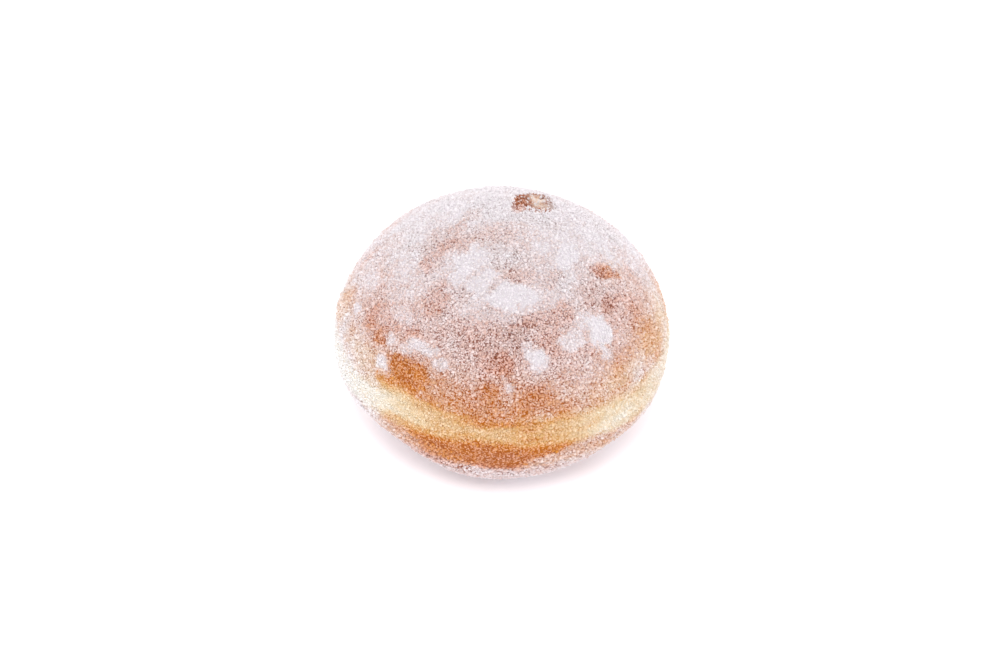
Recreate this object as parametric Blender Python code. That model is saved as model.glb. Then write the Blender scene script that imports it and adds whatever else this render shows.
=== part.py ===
"""Mini filled doughnut: a round yeast bun fried on both sides and filled through a small puncture.

The doughnut is one piece, so it is one closed solid, the node "doughnut". It stands on a small flat spot
at z = 0 with its box centred on the Z axis. Units are metres, +Z is up and the front is the -Y side.
Azimuths are counted from the front, positive towards +X.

The form is a turned profile in three stretches: the lower flank that rises from the foot, the pale belt
that never touched the frying fat, and the browned dome. Named swellings then make it as uneven as a
hand-turned bun.
"""

import math
from dataclasses import dataclass

import bmesh
import bpy
from mathutils import Matrix, Vector, noise

MM = 0.001

# Driving sizes
RADIUS = 31.0 * MM  # at the widest ring
HEIGHT = 46.5 * MM  # from the foot to the top of the dome
WIDEST_Z = 18.9 * MM  # height of the widest ring
FOOT_RADIUS = 10.8 * MM  # flat spot that the doughnut rests on
DOME_POWER = 1.90  # 2 is an ellipse, less is a steeper cone
FLANK_POWER = 1.62
LEAN = math.radians(3.2)  # the dome leans this far towards +X over the level foot

# Pale belt between the two browned crusts
BELT_LOW_Z = 19.4 * MM
BELT_HIGH_Z = 24.0 * MM
BELT_RECESS = 0.30 * MM  # how far it lies behind the crusts, midway
BELT_RECESS_CHANGE = 0.22 * MM  # deeper by this on the -X side, shallower on the +X side
LIP_RISE = 0.7 * MM  # height of the step from the belt out to the dome's crust
BELT_REACH = 5.0 * MM  # how far above and below the belt its waves still move the crust

# Puncture left by the filling nozzle, beside the top of the dome
PUNCTURE_AT = Vector((4.4 * MM, 6.5 * MM))  # X and Y of its middle
PUNCTURE_LENGTH = 3.5 * MM  # half its length, along the tear
PUNCTURE_WIDTH = 2.2 * MM  # half its width, across the tear
PUNCTURE_TURN = math.radians(10)
PUNCTURE_DEPTH = 1.3 * MM
PUNCTURE_RIM = 0.35 * MM  # height of the pushed-up crust round it
HOLLOW_SPREAD = 0.7  # the hollow's and the rim's places and widths, in shares of the puncture's own size
RIM_AT = 1.25
RIM_SPREAD = 0.4

# Uneven crust
CALM_SHARE = 1 / 3  # the swellings and wrinkles grow from nothing at the foot over this share of WIDEST_Z
BROAD_WRINKLE = 0.32 * MM
BROAD_SCALE = 11.0 * MM
FINE_WRINKLE = 0.10 * MM
FINE_SCALE = 3.4 * MM

# Mesh
SEGMENTS = 96
DOME_RINGS = 24
BELT_RINGS = 5
RING_GAP = 0.6 * MM  # least height between the flank's last ring and the belt
FLANK_RINGS = 11
FOOT_RINGS = (2.0 * MM, 5.0 * MM, 8.5 * MM)
HALVED_BELOW = (9.0 * MM, 3.4 * MM, 1.3 * MM)  # a ring inside each radius has half the points

CRUST_COLOUR = (0.76, 0.50, 0.36, 1.0)


@dataclass(frozen=True)
class Swelling:
    """A broad bump, or a hollow where its height is negative, on the side that a direction points to."""

    azimuth: float  # degrees
    elevation: float  # degrees above the widest ring
    spread: float  # degrees
    height: float  # metres


SWELLINGS = (
    Swelling(azimuth=-50, elevation=-25, spread=25, height=-1.6 * MM),
    Swelling(azimuth=-78, elevation=-22, spread=24, height=0.65 * MM),
    Swelling(azimuth=0, elevation=-35, spread=30, height=0.6 * MM),
    Swelling(azimuth=60, elevation=-25, spread=22, height=-0.3 * MM),
    Swelling(azimuth=82, elevation=-6, spread=16, height=-0.65 * MM),
    Swelling(azimuth=89, elevation=8, spread=8, height=0.45 * MM),
    Swelling(azimuth=89, elevation=19, spread=6, height=-0.25 * MM),
    Swelling(azimuth=-90, elevation=11, spread=7, height=0.6 * MM),
    Swelling(azimuth=-92, elevation=25, spread=20, height=0.1 * MM),
    Swelling(azimuth=120, elevation=32, spread=24, height=0.5 * MM),
    Swelling(azimuth=-130, elevation=30, spread=26, height=0.35 * MM),
    Swelling(azimuth=-165, elevation=42, spread=28, height=0.45 * MM),
    Swelling(azimuth=170, elevation=-22, spread=28, height=0.6 * MM),
    Swelling(azimuth=115, elevation=-25, spread=22, height=0.3 * MM),
)


@dataclass(frozen=True)
class Wave:
    """One wave round the doughnut, with its number of crests."""

    crests: int
    height: float  # metres
    crest_at: float  # degrees of azimuth


BELT_HIGH_WAVES = (
    Wave(crests=1, height=1.0 * MM, crest_at=90),
    Wave(crests=2, height=0.15 * MM, crest_at=60),
    Wave(crests=6, height=0.55 * MM, crest_at=25),
)
BELT_LOW_WAVES = (
    Wave(crests=2, height=0.75 * MM, crest_at=0),
    Wave(crests=5, height=0.15 * MM, crest_at=-20),
)


def clear_scene() -> None:
    """Removes every object of the scene."""
    for thing in list(bpy.data.objects):
        bpy.data.objects.remove(thing, do_unlink=True)


def smoothstep(value: float) -> float:
    """Rises smoothly from 0 to 1 while value goes from 0 to 1."""
    value = min(max(value, 0.0), 1.0)
    return value * value * (3 - 2 * value)


def wave_sum(waves: tuple[Wave, ...], azimuth: float) -> float:
    """Height of a set of waves at an azimuth in radians."""
    return sum(w.height * math.cos(w.crests * (azimuth - math.radians(w.crest_at))) for w in waves)


def profile_radius(z: float) -> float:
    """Radius of the turned profile at a height."""
    if z >= WIDEST_Z:
        rise = min((z - WIDEST_Z) / (HEIGHT - WIDEST_Z), 1.0)
        return RADIUS * (1 - rise**DOME_POWER) ** (1 / DOME_POWER)
    drop = min((WIDEST_Z - z) / WIDEST_Z, 1.0)
    return FOOT_RADIUS + (RADIUS - FOOT_RADIUS) * (1 - drop**FLANK_POWER) ** (1 / FLANK_POWER)


def ring_heights() -> list[float]:
    """Heights of the rings from the foot's edge to the last one under the top."""
    quarter = math.pi / 2
    flank = [
        WIDEST_Z * (1 - math.sin(quarter * (1 - i / FLANK_RINGS)) ** (2 / FLANK_POWER))
        for i in range(FLANK_RINGS)
    ]
    flank = [z for z in flank if z < BELT_LOW_Z - RING_GAP]
    belt = [BELT_LOW_Z + (BELT_HIGH_Z - BELT_LOW_Z) * i / BELT_RINGS for i in range(BELT_RINGS + 1)]
    belt_top = BELT_HIGH_Z + LIP_RISE
    belt += [BELT_HIGH_Z + LIP_RISE / 2, belt_top]
    first = math.asin(((belt_top - WIDEST_Z) / (HEIGHT - WIDEST_Z)) ** (DOME_POWER / 2))
    dome = []
    for i in range(1, DOME_RINGS):
        turn = first + (quarter - first) * i / DOME_RINGS
        dome.append(WIDEST_Z + (HEIGHT - WIDEST_Z) * math.sin(turn) ** (2 / DOME_POWER))
    return flank + belt + dome


def belt_recess(z: float, azimuth: float) -> float:
    """How far the belt has sunk behind the profile at a ring's height, most of all right under the lip."""
    hem = smoothstep((z - BELT_LOW_Z) / (BELT_HIGH_Z - BELT_LOW_Z))
    lip = 1 - smoothstep((z - BELT_HIGH_Z) / LIP_RISE)
    return (BELT_RECESS - BELT_RECESS_CHANGE * math.sin(azimuth)) * hem * lip


def belt_shift(z: float, azimuth: float) -> float:
    """How far the waves of the belt's two edges lift a ring at an azimuth."""
    share = smoothstep((z - BELT_LOW_Z) / (BELT_HIGH_Z - BELT_LOW_Z))
    lift = (1 - share) * wave_sum(BELT_LOW_WAVES, azimuth) + share * wave_sum(BELT_HIGH_WAVES, azimuth)
    above = 1 - smoothstep((z - BELT_HIGH_Z) / BELT_REACH)
    below = 1 - smoothstep((BELT_LOW_Z - z) / BELT_REACH)
    return lift * above * below


def swell(point: Vector) -> Vector:
    """Moves a point away from the doughnut's middle by the swellings, and not at all at the foot."""
    middle = Vector((0, 0, WIDEST_Z))
    outward = (point - middle).normalized()
    height = 0.0
    for s in SWELLINGS:
        azimuth = math.radians(s.azimuth)
        elevation = math.radians(s.elevation)
        level = math.cos(elevation)
        aim = Vector((level * math.sin(azimuth), -level * math.cos(azimuth), math.sin(elevation)))
        off = outward.angle(aim) / math.radians(s.spread)
        height += s.height * math.exp(-off * off)
    height += BROAD_WRINKLE * noise.noise(point / BROAD_SCALE)
    height += FINE_WRINKLE * noise.noise(point / FINE_SCALE)
    return point + outward * height * smoothstep(point.z / (WIDEST_Z * CALM_SHARE))


def puncture(point: Vector) -> Vector:
    """Presses the puncture's torn hollow and its raised rim into the top of the dome."""
    if point.z < WIDEST_Z:
        return point
    across = Matrix.Rotation(-PUNCTURE_TURN, 2) @ (point.xy - PUNCTURE_AT)
    reach = math.hypot(across.x / PUNCTURE_LENGTH, across.y / PUNCTURE_WIDTH)
    hollow = PUNCTURE_DEPTH * math.exp(-((reach / HOLLOW_SPREAD) ** 2))
    rim = PUNCTURE_RIM * math.exp(-(((reach - RIM_AT) / RIM_SPREAD) ** 2))
    return point + Vector((0, 0, rim - hollow))


def lean(point: Vector) -> Vector:
    """Turns the upper doughnut over the level foot."""
    turn = LEAN * smoothstep(point.z / WIDEST_Z)
    return Matrix.Rotation(turn, 3, "Y") @ point


def shaped(radius: float, azimuth: float, z: float) -> Vector:
    """Point of the finished surface that starts on the turned profile."""
    point = Vector((radius * math.sin(azimuth), -radius * math.cos(azimuth), z))
    point = lean(puncture(swell(point)))
    if z == 0.0:
        point.z = 0.0
    return point


def ring_points(z: float, radius: float | None = None) -> list[Vector]:
    """Points of one ring, on the profile unless it gets a radius of its own."""
    nominal = profile_radius(z) if radius is None else radius
    count = SEGMENTS
    for limit in HALVED_BELOW:
        if nominal < limit:
            count //= 2
    points = []
    for i in range(count):
        azimuth = math.tau * i / count
        shift = belt_shift(z, azimuth)
        out = nominal if radius is not None else profile_radius(z + shift) - belt_recess(z, azimuth)
        points.append(shaped(out, azimuth, z + shift))
    return points


def stitch(
    mesh: bmesh.types.BMesh, low: list[bmesh.types.BMVert], high: list[bmesh.types.BMVert]
) -> None:
    """Joins two neighbouring rings, one of which may have half the other's points."""
    most = max(len(low), len(high))
    down = most // len(low)
    up = most // len(high)
    for i in range(0, most, max(down, up)):
        step = max(down, up)
        bottom = [low[(i + k) // down % len(low)] for k in range(step + 1)][:: down]
        top = [high[(i + k) // up % len(high)] for k in range(step + 1)][:: up]
        if len(bottom) == len(top):
            mesh.faces.new((bottom[0], bottom[1], top[1], top[0]))
        elif len(bottom) > len(top):
            mesh.faces.new((bottom[0], bottom[1], top[0]))
            mesh.faces.new((bottom[1], top[1], top[0]))
            mesh.faces.new((bottom[1], bottom[2], top[1]))
        else:
            mesh.faces.new((bottom[0], top[1], top[0]))
            mesh.faces.new((bottom[0], bottom[1], top[1]))
            mesh.faces.new((bottom[1], top[2], top[1]))


def close_with_fan(
    mesh: bmesh.types.BMesh, ring: list[bmesh.types.BMVert], tip: Vector, upward: bool
) -> None:
    """Closes a ring with triangles that meet at a tip."""
    middle = mesh.verts.new(tip)
    for i, vert in enumerate(ring):
        after = ring[(i + 1) % len(ring)]
        mesh.faces.new((vert, after, middle) if upward else (after, vert, middle))


def doughnut_mesh() -> bpy.types.Mesh:
    """Builds the doughnut's closed surface, centred on the Z axis."""
    mesh = bmesh.new()
    rings = [ring_points(0.0, radius) for radius in FOOT_RINGS]
    rings += [ring_points(z) for z in ring_heights()]
    verts = [[mesh.verts.new(point) for point in ring] for ring in rings]
    for low, high in zip(verts, verts[1:]):
        stitch(mesh, low, high)
    close_with_fan(mesh, verts[0], Vector((0, 0, 0)), upward=False)
    close_with_fan(mesh, verts[-1], shaped(0.0, 0.0, HEIGHT), upward=True)
    xs = [vert.co.x for vert in mesh.verts]
    ys = [vert.co.y for vert in mesh.verts]
    middle = Vector(((min(xs) + max(xs)) / 2, (min(ys) + max(ys)) / 2, 0))
    bmesh.ops.translate(mesh, verts=mesh.verts, vec=-middle)
    bmesh.ops.triangulate(mesh, faces=mesh.faces, quad_method="SHORT_EDGE")
    bmesh.ops.recalc_face_normals(mesh, faces=mesh.faces)
    data = bpy.data.meshes.new("doughnut")
    mesh.to_mesh(data)
    mesh.free()
    data.shade_smooth()
    data.set_sharp_from_angle(angle=math.radians(50))
    return data


def crust_material() -> bpy.types.Material:
    """Sugared crust: a pale, slightly pink brown without gloss."""
    material = bpy.data.materials.new("sugared_crust")
    material.use_nodes = True
    shader = material.node_tree.nodes["Principled BSDF"]
    shader.inputs["Base Color"].default_value = CRUST_COLOUR
    shader.inputs["Roughness"].default_value = 0.75
    shader.inputs["Metallic"].default_value = 0.0
    return material


def main() -> None:
    """Clears the scene and builds the doughnut."""
    clear_scene()
    data = doughnut_mesh()
    data.materials.append(crust_material())
    doughnut = bpy.data.objects.new("doughnut", data)
    bpy.context.scene.collection.objects.link(doughnut)


main()
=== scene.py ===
"""Looks for a mini filled doughnut that was fried, filled and rolled in sugar.

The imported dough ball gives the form. Its skin is refined here, browned, torn open where the filling
went in, caked with powdery sugar and strewn with loose crystals, on a pale studio floor.
Lengths are millimetres and angles degrees, except in the meshes and nodes, which are in metres.
"""

import logging
import math
from dataclasses import dataclass, field
from enum import Enum

import bpy
import numpy as np
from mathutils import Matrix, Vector


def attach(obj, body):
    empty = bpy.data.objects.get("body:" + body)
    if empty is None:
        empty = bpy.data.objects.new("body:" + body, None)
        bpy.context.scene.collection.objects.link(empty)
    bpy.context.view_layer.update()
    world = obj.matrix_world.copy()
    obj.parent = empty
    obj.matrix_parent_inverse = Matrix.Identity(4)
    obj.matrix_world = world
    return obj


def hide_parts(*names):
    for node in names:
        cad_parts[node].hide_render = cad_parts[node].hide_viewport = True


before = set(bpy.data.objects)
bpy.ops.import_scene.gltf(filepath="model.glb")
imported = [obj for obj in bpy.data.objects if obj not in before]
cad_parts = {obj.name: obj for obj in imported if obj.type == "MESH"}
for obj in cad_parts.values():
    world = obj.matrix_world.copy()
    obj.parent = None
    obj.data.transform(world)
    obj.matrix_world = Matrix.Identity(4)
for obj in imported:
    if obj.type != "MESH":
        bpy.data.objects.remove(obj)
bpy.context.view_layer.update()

MM = 0.001
BODY = "root"
DOUGH_NODE = "doughnut"
BAKE_MAP = "OFBake"
HEART = np.array([0.95, 0.0, 18.9])  # the point inside the ball that directions are taken from
SHINE = 0.07  # the specular level of dough and of sugar

log = logging.getLogger("doughnut")


class Skin(Enum):
    """The numbers stored for each point, which the finishes and the sugar coat read."""

    BROWNING = "browning"
    POWDER = "powder"
    FROST = "frost"
    CRUMB = "crumb"
    LOT = "lot"
    TORN = "torn"


class CrystalShape(Enum):
    """How a kind of sugar crystal is built."""

    BLOCK = "block"
    LOZENGE = "lozenge"


def unit_vectors(azimuth: np.ndarray, elevation: np.ndarray) -> np.ndarray:
    """Turns angles into directions.

    Args:
        azimuth: Degrees round the ball, 0 at the front and 90 at +X.
        elevation: Degrees above the heart's level.

    Returns:
        Unit vectors, one row for each pair of angles.
    """
    a, e = np.radians(azimuth), np.radians(elevation)
    return np.stack([np.cos(e) * np.sin(a), -np.cos(e) * np.cos(a), np.sin(e)], axis=-1)


def directions_of(points: np.ndarray) -> np.ndarray:
    """Returns the unit vectors from the heart to some points."""
    spokes = points - HEART
    return spokes / np.linalg.norm(spokes, axis=1, keepdims=True)


def angles_of(points: np.ndarray) -> tuple[np.ndarray, np.ndarray]:
    """Returns the azimuth and elevation of some points, in degrees."""
    d = directions_of(points)
    azimuth = np.degrees(np.arctan2(d[:, 0], -d[:, 1]))
    return azimuth, np.degrees(np.arcsin(np.clip(d[:, 2], -1.0, 1.0)))


def smooth(share: np.ndarray) -> np.ndarray:
    """Returns shares from 0 to 1 with a level start and end."""
    return share * share * (3.0 - 2.0 * share)


def ease(low: float | np.ndarray, high: float | np.ndarray, values: np.ndarray) -> np.ndarray:
    """Rises smoothly from 0 to 1 between two limits.

    Args:
        low: The value that gives 0.
        high: The value that gives 1, which may be the smaller one.
        values: What to ease.

    Returns:
        Numbers from 0 to 1.
    """
    return smooth(np.clip((values - low) / (high - low), 0.0, 1.0))


def hump(values: np.ndarray, middle: float, half: float) -> np.ndarray:
    """Returns a bell that is 1 where values are at its middle and about a third at half from it."""
    return np.exp(-(((values - middle) / half) ** 2))


def mix(first: np.ndarray | float, second: np.ndarray | float, share: np.ndarray) -> np.ndarray:
    """Returns first where the share is 0 and second where it is 1."""
    return first + (second - first) * share


class Lumps:
    """Seeded soft noise in space, from -1 to 1, for relief and for where sugar lies."""

    LATTICE = 48
    LAYER_SHIFT = 11.7  # moves each layer, so that their lattices don't line up

    def __init__(self, seed: int) -> None:
        """Draws the noise's lattice from a seed."""
        self.values = np.random.default_rng(seed).uniform(-1.0, 1.0, (self.LATTICE,) * 3)

    def at(self, points: np.ndarray, size: float, layers: int = 1) -> np.ndarray:
        """Reads the noise.

        Args:
            points: Places, in millimetres.
            size: The spacing of the biggest lumps.
            layers: How many layers to add, each half the size and half the height.

        Returns:
            One number for each point.
        """
        total, reach = np.zeros(len(points)), 0.0
        for layer in range(layers):
            weight = 0.5**layer
            total += weight * self._read(points * (2**layer / size) + self.LAYER_SHIFT * (layer + 1))
            reach += weight
        return total / reach

    def _read(self, places: np.ndarray) -> np.ndarray:
        """Blends the lattice's eight corners round each place."""
        low = np.floor(places).astype(int)
        part = smooth(places - low)
        total = np.zeros(len(places))
        for corner in np.ndindex(2, 2, 2):
            share = np.prod(np.where(corner, part, 1.0 - part), axis=1)
            i, j, k = ((low + corner) % self.LATTICE).T
            total += share * self.values[i, j, k]
        return total


@dataclass(frozen=True)
class Patch:
    """An oval area of the skin.

    azimuth and elevation are its middle, across and along its half widths, strength its cover in the
    middle, and turn its twist.
    """

    azimuth: float
    elevation: float
    across: float
    along: float
    strength: float
    turn: float = 0.0

    def cover(self, directions: np.ndarray, ragged: np.ndarray, soft: float) -> np.ndarray:
        """Works out how much of the patch covers each point.

        Args:
            directions: Unit vectors from the heart.
            ragged: Noise that is added to the distance from the middle, so the edge is uneven.
            soft: How wide the fade at the edge is, as a share of the patch.

        Returns:
            Numbers from 0 to strength.
        """
        middle = unit_vectors(self.azimuth, self.elevation)
        right = unit_vectors(self.azimuth + 90.0, 0.0)
        up = unit_vectors(self.azimuth + 180.0, 90.0 - self.elevation)
        ahead = directions @ middle
        u = np.degrees(np.arctan2(directions @ right, ahead))
        v = np.degrees(np.arctan2(directions @ up, ahead))
        c, s = math.cos(math.radians(self.turn)), math.sin(math.radians(self.turn))
        far = np.hypot((c * u + s * v) / self.across, (c * v - s * u) / self.along)
        return self.strength * ease(1.0 + soft, 1.0 - soft, far + ragged)


def thickest(
    patches: tuple[Patch, ...], directions: np.ndarray, ragged: np.ndarray, soft: float
) -> np.ndarray:
    """Returns the strongest cover that any of the patches gives, with Patch.cover's arguments."""
    total = np.zeros(len(directions))
    for patch in patches:
        total = np.maximum(total, patch.cover(directions, ragged, soft))
    return total


@dataclass
class SugarPlan:
    """Where the skin is pale, browned, caked with powder or rubbed bare."""

    belt_at: tuple[tuple[float, float, float], ...] = (
        # azimuth, elevation of the pale belt's lower edge and of its upper edge
        (-180.0, 1.5, 8.5),
        (-120.0, 0.0, 9.0),
        (-85.0, -1.5, 7.5),
        (-65.0, -3.0, 7.0),
        (-54.0, -2.0, 8.8),
        (-40.0, 1.4, 11.3),
        (-31.0, 1.2, 11.2),
        (-19.0, 0.8, 10.3),
        (-9.0, 2.6, 7.7),
        (6.0, 0.7, 7.6),
        (19.0, -1.0, 8.0),
        (28.0, -2.0, 7.0),
        (40.0, -4.0, 7.2),
        (54.0, -5.0, 7.4),
        (74.0, -5.0, 5.6),
        (100.0, -2.5, 6.5),
        (135.0, 0.0, 8.5),
        (180.0, 1.5, 8.5),
    )
    belt_gold: tuple[tuple[float, float], ...] = (
        # azimuth, browning of the belt's middle
        (-180.0, 0.08),
        (-90.0, 0.0),
        (-62.0, 0.03),
        (-46.0, 0.02),
        (-37.0, 0.09),
        (-22.0, 0.27),
        (-12.0, 0.33),
        (8.0, 0.36),
        (26.0, 0.22),
        (42.0, 0.07),
        (62.0, 0.18),
        (90.0, 0.08),
        (180.0, 0.08),
    )
    caked: tuple[Patch, ...] = (
        # the open ring on the crown
        Patch(-35, 65, 7.5, 7.5, 0.9),
        Patch(-35, 58, 5, 6, 0.72),
        Patch(-17, 58, 7, 5.5, 0.8),
        Patch(1, 54.5, 12.5, 5, 1.0),
        Patch(-15, 61, 5.5, 4, 0.78),
        Patch(29, 51, 6, 3.5, 0.6),
        Patch(60, 63, 7, 6.5, 1.0),
        Patch(64, 74, 10, 7, 0.6),
        Patch(29, 78, 6, 5, 0.55),
        Patch(46, 57, 8, 6, 0.5),
        Patch(-14, 47, 14, 3.2, 0.5),
        Patch(16, 50, 8, 3.5, 0.6),
        # the right shoulder
        Patch(44, 33, 5.6, 7, 1.0),
        Patch(43, 25, 4, 3.6, 0.55),
        Patch(29, 34, 8, 4, 0.62),
        Patch(41, 39, 6, 4, 0.6),
        Patch(39, 33, 12, 8, 0.4),
        Patch(12, 31, 4.0, 5.6, 1.0),
        # the left shoulder
        Patch(-35, 30, 8, 2.6, 0.65),
        Patch(-42, 27, 4, 2.4, 0.55),
        Patch(-25, 27, 4, 2.5, 0.64),
        Patch(-49, 19, 4, 3.8, 0.74),
        Patch(-50, 27, 3, 2.3, 0.6),
        Patch(-50, 36, 6, 4, 0.5),
        Patch(-81, 34, 7.5, 4, 0.62),
        Patch(-69, 46, 13, 8, 0.62),
        Patch(-66, 22, 3.4, 3.5, 0.4),
        Patch(-58, 31, 10, 6, 0.32),
        Patch(-76, 25, 3.6, 3.2, 0.7),
        Patch(-111, 68, 6, 5, 0.8),
        Patch(-105, 60, 13, 10, 0.5),
        # the right and back rim
        Patch(84, 48, 9, 6, 0.72),
        Patch(88, 50, 9, 5, 0.85),
        Patch(104, 33, 7, 6, 0.6),
        Patch(114, 62, 17, 10, 0.6),
        Patch(-162, 67, 14, 10, 0.6),
        # small dabs near the belt
        Patch(1, 22, 2, 2, 0.6),
        Patch(18, 20, 5, 3, 0.25),
        Patch(34, 22, 11, 6, 0.38),
        Patch(56, 21, 8, 5, 0.3),
        # the far side
        Patch(150, 38, 16, 10, 0.85, 20),
        Patch(118, 24, 9, 6, 0.6, -15),
        Patch(-172, 22, 8, 5, 0.8),
        Patch(-148, 33, 12, 8, 0.7, 30),
        Patch(-128, 20, 6, 5, 0.7),
        Patch(170, 50, 10, 7, 0.7),
        # under the belt
        Patch(60, -24, 14, 8, 0.5),
        Patch(150, -18, 16, 7, 0.55),
        Patch(-70, -22, 14, 7, 0.5),
        Patch(-150, -28, 15, 9, 0.6),
        Patch(10, -40, 18, 8, 0.5),
        Patch(8, -19, 8, 6, 0.42),
    )
    rubbed: tuple[Patch, ...] = (
        # the bare place over the belt, front left
        Patch(-38.5, 20, 8, 5.2, 1.0, -8),
        Patch(-36, 17.5, 4.5, 4, 0.95),
        Patch(-44, 14, 7, 3.4, 0.6),
        # thin sugar on the left of the crown
        Patch(-66, 65, 4, 4.5, 0.3),
        Patch(-68, 68, 12, 8, 0.14),
        Patch(-84, 71, 4.5, 4, 0.28),
        Patch(-112, 76, 5, 4, 0.2),
        # the left flank
        Patch(-86, 19, 5, 7, 0.22),
        Patch(-64, 28, 3.6, 5, 0.28),
        Patch(-55, 26, 3.4, 3.2, 0.45),
        # the smear on the right shoulder
        Patch(71, 47.5, 6.6, 3.3, 0.68, -42),
        # thin sugar over the belt
        Patch(71, 15, 10, 8, 0.25),
        Patch(1, 19, 12, 5, 0.2),
        Patch(-20, 17, 11, 6, 0.2),
        Patch(8, 13, 9, 3.5, 0.14),
        # thin sugar on the front and on the crown
        Patch(-40, 47, 4.5, 7, 0.32),
        Patch(-2, 30, 4.0, 5, 0.4),
        Patch(-8, 39, 20, 4.5, 0.05),
        Patch(12, 44, 9, 2.4, 0.2),
        Patch(8, 62, 11, 3.6, 0.14),
        Patch(-59, 57, 4.5, 6, 0.36),
        Patch(-30, 82, 9, 5, 0.14),
        Patch(22, 46, 8, 5, 0.22),
        Patch(32, 58, 6, 3.5, 0.18),
        Patch(56, 39, 5, 3.2, 0.3),
        # the bare strip under the belt
        Patch(-20, -1.5, 11.5, 3.6, 1.0, -6),
        Patch(-6, -5.5, 13, 5.5, 1.0),
        Patch(-30, -14, 14, 6, 0.26),
        Patch(8, -2.5, 12, 3.6, 1.0, 4),
        # the far side
        Patch(156, 78, 2.6, 5.6, 0.5),
        Patch(140, 73, 4.5, 3.2, 0.45),
        Patch(132, 30, 9, 5, 0.5, 10),
        Patch(-158, 12, 14, 4, 0.36),
        Patch(175, 36, 7, 4, 0.5),
        Patch(120, -6, 26, 4, 0.7),
        Patch(-140, -7, 30, 4.5, 0.6),
    )
    frost_at: tuple[tuple[float, float, float, float], ...] = (
        # azimuth, whiteness of the crystals under the belt, on it and right above it
        (-180.0, 0.55, 0.60, 0.60),
        (-120.0, 0.60, 0.65, 0.65),
        (-85.0, 0.82, 1.00, 0.84),
        (-62.0, 0.92, 0.88, 0.66),
        (-48.0, 0.54, 0.50, 0.50),
        (-34.0, 0.42, 0.10, 0.42),
        (-20.0, 0.20, 0.02, 0.52),
        (-8.0, 0.04, 0.00, 0.54),
        (1.0, 0.08, 0.00, 0.54),
        (8.0, 0.36, 0.04, 0.53),
        (20.0, 0.64, 0.20, 0.52),
        (38.0, 0.59, 0.44, 0.52),
        (55.0, 0.67, 0.50, 0.66),
        (80.0, 0.80, 0.56, 0.62),
        (110.0, 0.60, 0.50, 0.50),
        (180.0, 0.55, 0.60, 0.60),
    )
    golden: tuple[Patch, ...] = (
        # where the crown stayed lighter
        Patch(70, 20, 13, 15, 0.14),
        Patch(88, 14, 10, 16, 0.22),
        Patch(-60, 15, 14, 5, 0.14),
        Patch(-88, 16, 8, 10, 0.12),
        Patch(46, 14, 14, 5, 0.12),
        Patch(76, 46, 8, 5, 0.14),
        Patch(140, 14, 20, 8, 0.14),
        Patch(-150, 16, 24, 8, 0.12),
    )
    # how wide the patches' edges fade, as a share of each patch
    gold_fade: float = 0.8
    cake_fade: float = 0.62
    rub_fade: float = 0.35
    # how far the belt's edges wander, and where and by how much it ends more slowly below
    upper_wander: float = 1.3
    lower_wander: float = 0.9
    slow_at: float = -38.0
    slow_half: float = 12.0
    slow_by: float = 1.3
    # browning right above the belt, and what it gains higher up and at the front
    hem_tone: float = 0.54
    crown_rise: float = 0.22
    front_rise: float = 0.04
    front_half: float = 32.0
    # browning right under the belt, and what it gains lower down and round an azimuth at the front
    sole_tone: float = 0.53
    sole_rise: float = 0.20
    sole_front_rise: float = 0.07
    sole_front_at: float = -6.0
    sole_front_half: float = 24.0
    # how uneven the browning is, in large spots, small spots and streaks
    blotches: float = 0.07
    freckles: float = 0.05
    streaks: float = 0.15
    # powder all over the upper half, and what it gains behind and high up
    veil: float = 0.16
    rear_veil: float = 0.50
    high_veil: float = 0.44
    # whiteness of the sugar on the crown, what it gains high up and at the sides, and low on the ball
    crown_frost: float = 0.54
    high_frost: float = 0.20
    side_frost: float = 0.20
    foot_frost: float = 0.67
    uneven_frost: float = 0.20
    # how closely crystals lie, how uneven that is, and what takes some away or adds some
    closeness: float = 0.84
    uneven_closeness: float = 0.25
    rubbed_loss: float = 0.68
    sole_loss: float = 0.18
    low_loss: float = 0.15
    foot_loss: float = 0.2
    caked_gain: float = 0.2
    edges: Lumps = field(default_factory=lambda: Lumps(3))
    drifts: Lumps = field(default_factory=lambda: Lumps(8))

    def belt(self, points: np.ndarray) -> tuple[np.ndarray, np.ndarray]:
        """Measures points against the pale belt.

        Args:
            points: Places on the skin.

        Returns:
            Degrees above the belt's upper edge, and degrees below its lower edge.
        """
        azimuth, elevation = angles_of(points)
        at, low, high = np.array(self.belt_at).T
        above = elevation - np.interp(azimuth, at, high) + self.upper_wander * self.edges.at(points, 3.6, 3)
        below = np.interp(azimuth, at, low) - elevation + self.lower_wander * self.drifts.at(points, 3.0, 3)
        return above, below

    def sole_edge(self, points: np.ndarray, below: np.ndarray) -> np.ndarray:
        """Returns the rise from 0 on the belt to 1 under it, which is slowest at the front left."""
        azimuth, _ = angles_of(points)
        slow = 1.0 + self.slow_by * hump(azimuth, self.slow_at, self.slow_half)
        return ease(-2.2, 2.4, below / slow)

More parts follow.
